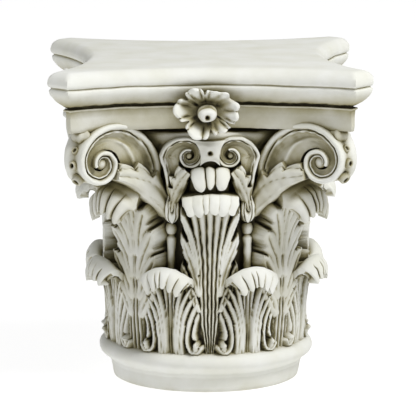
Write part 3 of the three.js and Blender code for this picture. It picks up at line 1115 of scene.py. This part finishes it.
@dataclass
class Caulicole:
    """Stem, bead and calyx beside the middle of a face, with the two leaves that rise from it."""

    azimuth: float = math.radians(23.5)
    radius: float = 103.5
    section: Pairs = field(default_factory=lambda: [
        (0, 112), (4.2, 112), (4.4, 150), (4.9, 165), (5.6, 170), (5.8, 173), (4.2, 174.8),
        (3.6, 176.4), (5.4, 178.4), (6.6, 182), (6.6, 185), (5.4, 188.4), (3.8, 190), (4.4, 191.2),
        (6.2, 192.6), (8.0, 195), (9.2, 198.5), (9.0, 200), (7.8, 201), (8.2, 202.4), (9.2, 206),
        (9.6, 211), (9.2, 216), (7, 220), (0, 222),
    ])
    steps: int = 32
    stretch: float = 1.6
    notch: float = 6
    notch_height: float = 209.5
    cup_foot: float = 192
    cup_height: float = 30
    cup_half: float = 7.5
    cup_out: float = 113.5
    leaf_seat: float = -1
    leaf_teeth: int = 4
    leaf_depth: float = 26

    def meshes(self) -> list[bpy.types.Mesh]:
        """Stem and cup on the right of the -Y face.

        Returns:
            The two closed meshes.
        """
        x, y = self.radius * math.sin(self.azimuth), -self.radius * math.cos(self.azimuth)

        def place(turn: np.ndarray, radius: np.ndarray, height: np.ndarray) -> Points:
            """Points of the stem, with a notch in the cup where it faces out."""
            angle = turn * 2 * math.pi
            facing = np.angle(np.exp(1j * (angle - self.azimuth)))
            notch = self.notch * bump(facing, 0.24) * bump(height - self.notch_height, 5)
            notch = notch * (radius > 5)
            return around(radius - notch, angle, height) + np.array([x, y, 0])

        stem = turned(finer(self.section, self.stretch), self.steps, place, "stem")
        return [stem, self.cup()]

    def cup(self) -> bpy.types.Mesh:
        """Calyx between the roots of the leaves, with a rolled rim and a drilled drop.

        Returns:
            The closed mesh.
        """
        middle = self.radius * math.sin(self.azimuth)

        def place(u: np.ndarray, t: np.ndarray, front: np.ndarray) -> Points:
            """Points of the cup and of its back."""
            z = self.cup_foot + self.cup_height * t
            half = self.cup_half * np.sqrt(np.clip(1 - (1 - np.clip(t / 0.4, 0, 1)) ** 2, 0.03, 1))
            half = half * (1 - 0.35 * ramp(0.6, 1, t))
            drop = 9 * bump(np.hypot(u * half / 2.4, (z - 208) / 6), 0.9)
            rim = 1.8 * bump(np.abs(u) - 0.58, 0.1)
            crown = 5 * np.sqrt(np.clip(1 - 0.75 * u**2, 0, 1)) - 4 * ramp(0.6, 1, t)
            out = np.where(front > 0.5, crown - drop - rim, -14)
            return np.stack([middle + half * u, -self.cup_out + 4 * (1 - t) - out, z], axis=1)

        return slab(24, 40, place, "cup")

    @staticmethod
    def stain_and_shade(co: np.ndarray) -> np.ndarray:
        """Wash left on the leaves of the calyx, patchy and thicker towards the root.

        Args:
            co: Coordinates in metres.

        Returns:
            Share of wash at each point.
        """
        patchy = 0.5 + 0.5 * np.sin(260 * co[:, 2] + 190 * co[:, 0]) * np.sin(230 * co[:, 1])
        return 0.25 + 0.3 * patchy + 0.15 * (1 - ramp(0.21, 0.24, co[:, 2]))

    def leaves(self) -> list[bpy.types.Mesh]:
        """Outer leaf below the volute and inner leaf below the helix, right of a face's middle.

        Returns:
            The two closed meshes.
        """
        outer = self.calyx_leaf(
            corner_volute(),
            [(-84, -62), (-73, -42), (-60, -28), (-47, -19), (-33, -14), (-16, -12)],
            [7, 12, 16, 17, 15, 12, 7])
        inner = self.calyx_leaf(
            inner_helix(), [(-22, -62), (-18, -48), (-14, -34), (-11, -23), (-4, -15)],
            [4, 7, 10, 11, 7])
        inner.transform(Matrix.Scale(-1, 4, (1, 0, 0)))
        inner.flip_normals()
        return [outer, inner]

    def calyx_leaf(self, scroll: Scroll, axis: Pairs, widths: list[float]) -> bpy.types.Mesh:
        """Leaf that rises from the calyx in a scroll's plane, toothed on its upper side.

        Args:
            scroll: Scroll whose plane it lies in.
            axis: Middle line in that plane.
            widths: Half-widths along it.

        Returns:
            The closed mesh.
        """
        lengths, line = curve_table(axis)
        slope = np.gradient(line, lengths, axis=0)
        slope /= np.linalg.norm(slope, axis=1)[:, None]
        marks = np.linspace(0, 1, len(widths))

        def place(u: np.ndarray, t: np.ndarray, front: np.ndarray) -> Points:
            """Points of the leaf and of its back."""
            toothed = ramp(0.1, 0.9, -u)
            shifted = np.clip(t + 0.09 * toothed, 0, 1)
            tooth = (1 - (shifted * self.leaf_teeth + 0.12 * np.sin(9 * t)) % 1) ** 1.1
            at = shifted * lengths[-1]
            x, y = (np.interp(at, lengths, line[:, k]) for k in range(2))
            dx, dy = (np.interp(at, lengths, slope[:, k]) for k in range(2))
            width = np.interp(t, marks, widths) * (1 - 0.55 * tooth * toothed * ramp(0.05, 0.2, t))
            groove = 1.8 * (1 - ridges(1.2 * u + 0.9 + 0.25 * np.sin(5 * t), 0.8))
            groove = groove + 2.6 * tooth * toothed
            crown = 4.5 * np.sqrt(np.clip(1 - 0.8 * u**2, 0, 1)) + 1.5 * bump(u - 0.8, 0.12)
            out = np.where(front > 0.5, crown - groove, -self.leaf_depth) - self.leaf_seat
            return scroll.to_space(x + dy * width * u, y - dx * width * u, out)

        return slab(22, 66, place, "calyx_leaf")

    def build(self, stone: CastStone) -> None:
        """Dresses the leaves of all the calyces as one piece."""
        leaves = [copy for mesh in self.leaves() for copy in copies(mesh, QUARTERS, True)]
        stone.dress("calyx_leaves", leaves, self.stain_and_shade)


@dataclass
class HelixWeb:
    """Sheet that joins the two helices of a face, with a small drilled hole."""

    foot: float = -5
    rise: float = 21
    face: float = 5
    back: float = 18
    hole: float = 9
    hole_size: float = 2.3
    hole_height: float = 3

    def mesh(self) -> bpy.types.Mesh:
        """The sheet at the middle of the -Y face.

        Returns:
            The closed mesh.
        """
        helix = inner_helix()
        reach, eye_z = -helix.eye[0], helix.eye[2]

        def place(u: np.ndarray, t: np.ndarray, front: np.ndarray) -> Points:
            """Points of the sheet and of its back."""
            rise = self.foot + self.rise * t
            half = reach - np.sqrt(np.clip(helix.coil**2 - (rise - 1) ** 2, 25, None)) + 3.5
            x = half * u
            z = eye_z + rise - 6 * u**2 * (1 - t) + 2.5 * u**2 * t
            drilled = self.hole * bump(np.hypot(x, (rise - self.hole_height) * 1.1), self.hole_size)
            rolled = 2.5 * ramp(0.75, 1, t) + 2.5 * ramp(0.7, 1, 1 - t)
            out = self.face - 2.4 * np.abs(u) ** 3 - rolled - drilled
            return np.stack([x, helix.eye[1] - np.where(front > 0.5, out, -self.back), z], axis=1)

        return slab(40, 30, place, "helix_web")


# Abacus and horn knobs


@dataclass
class HornKnob:
    """Small curled leaf under a horn."""

    out: float = 196
    height: float = 292
    half_width: float = 12
    half_depth: float = 9
    half_height: float = 9
    lobes: int = 5
    lobe_depth: float = 0.12

    def mesh(self) -> bpy.types.Mesh:
        """The knob at the middle of the -Y face.

        Returns:
            The closed mesh.
        """

        def place(turn: np.ndarray, level: np.ndarray) -> Points:
            """Points of the lobed ball."""
            polar = level * math.pi
            angle = turn * 2 * math.pi
            lobed = 1 + self.lobe_depth * np.cos(self.lobes * angle)
            x = self.half_width * lobed * np.sin(polar) * np.cos(angle)
            y = self.half_depth * lobed * np.sin(polar) * np.sin(angle)
            z = self.height + self.half_height * np.cos(polar)
            return np.stack([x, y - self.out, z], axis=1)

        return loft(32, 17, place, "horn_knob")


@dataclass
class Abacus:
    """Square slab with hollow sides, cut horns and a moulded edge."""

    half_width: float = 175.0
    horn_cut: float = 21.7
    hollow: float = 41.0
    side_steps: int = 72
    horn_steps: int = 8
    edge: Pairs = field(default_factory=lambda: [
        (297, 19), (297, 18), (297.6, 17.2), (303, 16.8), (312, 16.4), (319.6, 16), (320.6, 15),
        (321.2, 14), (322.6, 13.6), (323.2, 14.4), (323.6, 17), (324.8, 17.4), (325.8, 15),
        (327, 13), (329, 10.2), (332, 7), (335.5, 4.2), (339, 2.2), (342.5, 1.2), (344.4, 1.6),
        (345.1, 2.6), (345.9, 3.2), (346.8, 2.4), (347.4, 1.2), (349.5, 0.3), (352, 0),
        (355, 0.4), (358, 1.6), (360.6, 3.6), (362.6, 6.2), (363.6, 8.4), (364, 10.5), (364, 19),
    ])

    def outline(self, inset: float) -> np.ndarray:
        """Plan outline at an inset.

        Args:
            inset: Distance inside the widest outline.

        Returns:
            Points of the outline.
        """
        chord = self.half_width - self.horn_cut
        bend = (chord**2 + self.hollow**2) / (2 * self.hollow)
        centre = self.half_width - self.hollow + bend
        horn = 2 * self.half_width - self.horn_cut - math.sqrt(2) * inset
        radius = bend + inset
        gap = centre - horn
        end = (math.sqrt(2 * radius**2 - gap**2) - gap) / 2
        sweep = math.asin(end / radius)
        angle = np.linspace(-sweep, sweep, self.side_steps + 1)
        side = np.stack([radius * np.sin(angle), radius * np.cos(angle) - centre], axis=1)
        next_start = np.array([-side[0][1], side[0][0]])
        share = np.linspace(0, 1, self.horn_steps + 1)[1:-1, None]
        cut = side[-1] + (next_start - side[-1]) * share
        quarter = np.vstack([side, cut])
        turns = [np.array([[math.cos(a), math.sin(a)], [-math.sin(a), math.cos(a)]])
                 for a in QUARTERS]
        return np.vstack([quarter @ turn for turn in turns])

    def mesh(self) -> bpy.types.Mesh:
        """The closed slab.

        Returns:
            The mesh.
        """
        shares = (0.004, 0.3, 0.7)
        cap = self.outline(self.edge[0][1])
        rings = np.array([cap * share for share in shares]
                         + [self.outline(inset) for _, inset in self.edge]
                         + [cap * share for share in reversed(shares)])
        levels = [height for height, _ in self.edge]
        heights = np.array([levels[0]] * 3 + levels + [levels[-1]] * 3)
        count = rings.shape[1]

        def place(turn: np.ndarray, level: np.ndarray) -> Points:
            """Points of the rings from the middle of the underside to the middle of the top."""
            row = np.rint(level * (len(heights) - 1)).astype(int)
            column = np.rint(turn * count).astype(int) % count
            flat = rings[row, column]
            return np.column_stack([flat, heights[row]])

        return loft(count, len(heights), place, "slab")

    @staticmethod
    def stain_and_shade(co: np.ndarray) -> np.ndarray:
        """Painted shade with some wash on the moulding below the lip, darker downwards and towards
        the middle of each side.

        Args:
            co: Coordinates in metres.

        Returns:
            Share of wash at each point.
        """
        height = co[:, 2]
        # Painted shade on the downward-facing moulding, heaviest on the lower band and at the foot
        # of the ovolo.
        low = 1 - ramp(0.32, 0.323, height)
        middle = 1 - ramp(0.02, 0.12, np.abs(co[:, :2]).min(axis=1))
        ovolo = 0.8 * (1 - ramp(0.323, 0.343, height))
        below = np.maximum(0.24 + ovolo * (1 - low), low * (0.56 + 0.3 * middle))
        return below * (1 - ramp(0.343, 0.3465, height))

    def build(self, stone: CastStone) -> None:
        """Dresses the slab and the knobs under its horns as one piece."""
        knobs = copies(HornKnob().mesh(), DIAGONALS)
        stone.dress("abacus", [self.mesh(), *knobs], self.stain_and_shade)


# Fleurons


@dataclass
class Fleuron:
    """Ruffled flower in the middle of each side of the abacus."""

    petals: int = 6
    centre: tuple[float, float, float] = (-4, -143, 319)
    reach: tuple[float, float] = (36, 28)
    rings: Pairs = field(default_factory=lambda: [
        (0, 16), (0.1, 16.2), (0.2, 15), (0.27, 11), (0.29, 6), (0.3, 0), (0.36, -1), (0.5, 1.5),
        (0.66, 5), (0.8, 9), (0.9, 12.5), (0.97, 12.6), (1, 10.5), (0.98, 7), (0.88, 2),
        (0.7, -8), (0.5, -22), (0, -22),
    ])
    steps: int = 126
    cut_depth: float = 0.24
    cut_lift: float = 11
    fold_lift: float = 6
    curl: float = 2
    drill: float = 9

    def mesh(self) -> bpy.types.Mesh:
        """The closed flower on the -Y face.

        Returns:
            The mesh.
        """
        base = np.array(self.rings)
        fine = np.linspace(0, len(base) - 1, 3 * (len(base) - 1) + 1)
        share = np.interp(fine, np.arange(len(base)), base[:, 0])
        out = np.interp(fine, np.arange(len(base)), base[:, 1])

        def place(turn: np.ndarray, r: np.ndarray, o: np.ndarray) -> Points:
            """Points of the button and the ruffled petals."""
            angle = turn * 2 * math.pi
            phase = self.petals * turn + 0.16 * np.sin(2 * angle + 0.9) + 0.1 * np.sin(3 * angle)
            cut = bump(phase - np.rint(phase), 0.09)
            fold = ridges(phase * 2 + 0.5, 0.8)
            outer = ramp(0.3, 0.5, r)
            wavy = 0.07 * (1 - fold) + 0.07 * np.sin(3 * angle + 1.1) + 0.05 * np.sin(5 * angle)
            spread = 1 - outer * (self.cut_depth * cut + wavy * ramp(0.5, 1, r))
            curl = self.curl * np.sin(2 * angle + 0.6) + self.curl * np.sin(3 * angle + 2)
            folded = self.fold_lift * (fold - 0.6) * ramp(0.35, 0.8, r)
            lifted = folded - self.cut_lift * cut * r + curl * r
            bent = outer * (lifted * (o > -3))
            x = self.reach[0] * spread * r * np.sin(angle)
            z = self.reach[1] * spread * r * np.cos(angle)
            button = o > 8
            z = z - 2.5 * button * (r < 0.28)
            drill = -self.drill * bump(np.hypot(x, z + 5), 2.4) * button * (r < 0.28)
            return np.stack([x + self.centre[0], self.centre[1] - o - bent - drill,
                             z + self.centre[2]], axis=1)

        return turned(np.column_stack([share, out]), self.steps, place, "flower")

    @staticmethod
    def stain_and_shade(co: np.ndarray) -> np.ndarray:
        """Wash and painted shade left in the cups of the petals."""
        return 0.8 * (1 - ramp(0.144, 0.154, np.abs(co[:, :2]).max(axis=1)))

    def build(self, stone: CastStone) -> None:
        """Dresses the four flowers as one piece."""
        stone.dress("fleurons", copies(self.mesh(), QUARTERS), self.stain_and_shade)


# Studio


@dataclass(frozen=True)
class Studio:
    """Camera at the photograph's angle, soft light from high in front and a pale plain floor."""

    azimuth: float = math.radians(-2.2575)
    elevation: float = math.radians(9.790)
    distance: float = 3.4436
    aim_right: float = 0.0026
    aim_height: float = 0.1889
    lens: float = 264.3
    sensor: float = 36
    world_strength: float = 0.34
    lamps: tuple[tuple[str, tuple[float, float, float], float, float], ...] = (
        ("key", (1.25, -1.3, 2.75), 1.1, 80),
        ("fill", (-1.8, -1.0, 1.2), 1.4, 3),
    )
    lamp_aim: float = 0.2
    floor_size: float = 30
    floor_grey: float = 0.3
    floor_glow: float = 0.84
    floor_gap: float = 0.0005

    def set_camera(self) -> None:
        """Stands the camera in front of the -Y face."""
        level, rise = math.cos(self.elevation), math.sin(self.elevation)
        back = Vector((math.sin(self.azimuth) * level, -math.cos(self.azimuth) * level, rise))
        right = Vector((math.cos(self.azimuth), math.sin(self.azimuth), 0))
        target = right * self.aim_right + Vector((0, 0, self.aim_height))
        data = bpy.data.cameras.new("camera")
        data.lens = self.lens
        data.sensor_width = self.sensor
        data.clip_end = 20
        camera = bpy.data.objects.new("camera", data)
        camera.location = target + back * self.distance
        camera.rotation_euler = back.to_track_quat("Z", "Y").to_euler()
        bpy.context.scene.collection.objects.link(camera)
        bpy.context.scene.camera = camera

    def set_light(self) -> None:
        """Hangs the lamps in a pale world."""
        world = bpy.data.worlds.new("world")
        world.use_nodes = True
        backdrop = world.node_tree.nodes["Background"]
        backdrop.inputs["Color"].default_value = (1, 1, 1, 1)
        backdrop.inputs["Strength"].default_value = self.world_strength
        bpy.context.scene.world = world
        bpy.context.scene.view_settings.view_transform = "Standard"
        for name, place, size, power in self.lamps:
            data = bpy.data.lights.new(name, "AREA")
            data.size = size
            data.energy = power
            lamp = bpy.data.objects.new(name, data)
            lamp.location = place
            towards = Vector(place) - Vector((0, 0, self.lamp_aim))
            lamp.rotation_euler = towards.to_track_quat("Z", "Y").to_euler()
            bpy.context.scene.collection.objects.link(lamp)

    def set_floor(self) -> None:
        """Lays the floor just below the underside."""
        bm = bmesh.new()
        bmesh.ops.create_grid(bm, x_segments=1, y_segments=1, size=self.floor_size)
        mesh = bpy.data.meshes.new("floor")
        bm.to_mesh(mesh)
        bm.free()
        material = bpy.data.materials.new("floor")
        material.use_nodes = True
        shader = material.node_tree.nodes["Principled BSDF"]
        shader.inputs["Base Color"].default_value = (*[self.floor_grey] * 3, 1)
        shader.inputs["Emission Color"].default_value = (1, 1, 1, 1)
        shader.inputs["Emission Strength"].default_value = self.floor_glow
        mesh.materials.append(material)
        floor = bpy.data.objects.new("floor", mesh)
        floor.location = (0, 0, -self.floor_gap)
        bpy.context.scene.collection.objects.link(floor)


def main() -> None:
    """Builds the studio and every piece."""
    logging.basicConfig(level=logging.INFO, format="%(message)s")
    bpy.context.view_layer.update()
    studio = Studio()
    studio.set_camera()
    studio.set_light()
    studio.set_floor()
    stone = CastStone()
    Bell().build(stone)
    Caulicole().build(stone)
    for leaf in (lower_leaf(), face_leaf(), inner_tip(), corner_leaf()):
        leaf.build(stone)
    corner_volute().build(stone, copies(DrilledRings().mesh(), DIAGONALS))
    inner_helix().build(stone, copies(HelixWeb().mesh(), QUARTERS))
    Abacus().build(stone)
    Fleuron().build(stone)


if __name__ == "__main__":
    main()
